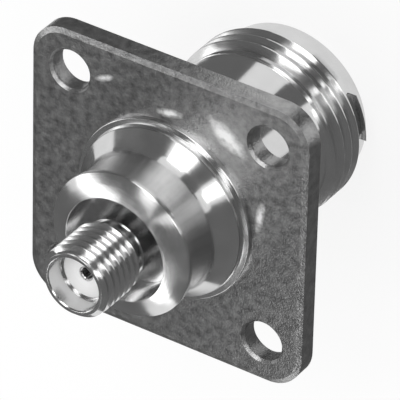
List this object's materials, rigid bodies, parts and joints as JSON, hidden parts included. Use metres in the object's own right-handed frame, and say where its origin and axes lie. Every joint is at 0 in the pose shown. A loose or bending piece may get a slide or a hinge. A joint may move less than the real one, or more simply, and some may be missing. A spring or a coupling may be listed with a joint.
{
  "type": "n type connector",
  "caption": "Square-flanged coaxial panel adapter with a threaded N jack barrel on one side and a threaded SMA jack on the other.",
  "frame": {"origin": "centre of the four-hole pattern, on the mating axis, in the plane of the flange's SMA-side face", "axes": "+Z along the mating axis towards the SMA end, +X and +Y along the sides of the square flange"},
  "size_m": [0.0254, 0.0254, 0.0307],
  "materials": {
    "nickel_plate": "bright nickel plate over brass",
    "ptfe": "turned white PTFE",
    "contact_plate": "plated beryllium copper"
  },
  "bodies": {
    "root": {"body": "nickel_plate", "n_bead": "ptfe", "n_contact": "contact_plate", "sma_jack": "nickel_plate", "sma_bead": "ptfe", "sma_contact": "contact_plate"}
  },
  "joints": []
}
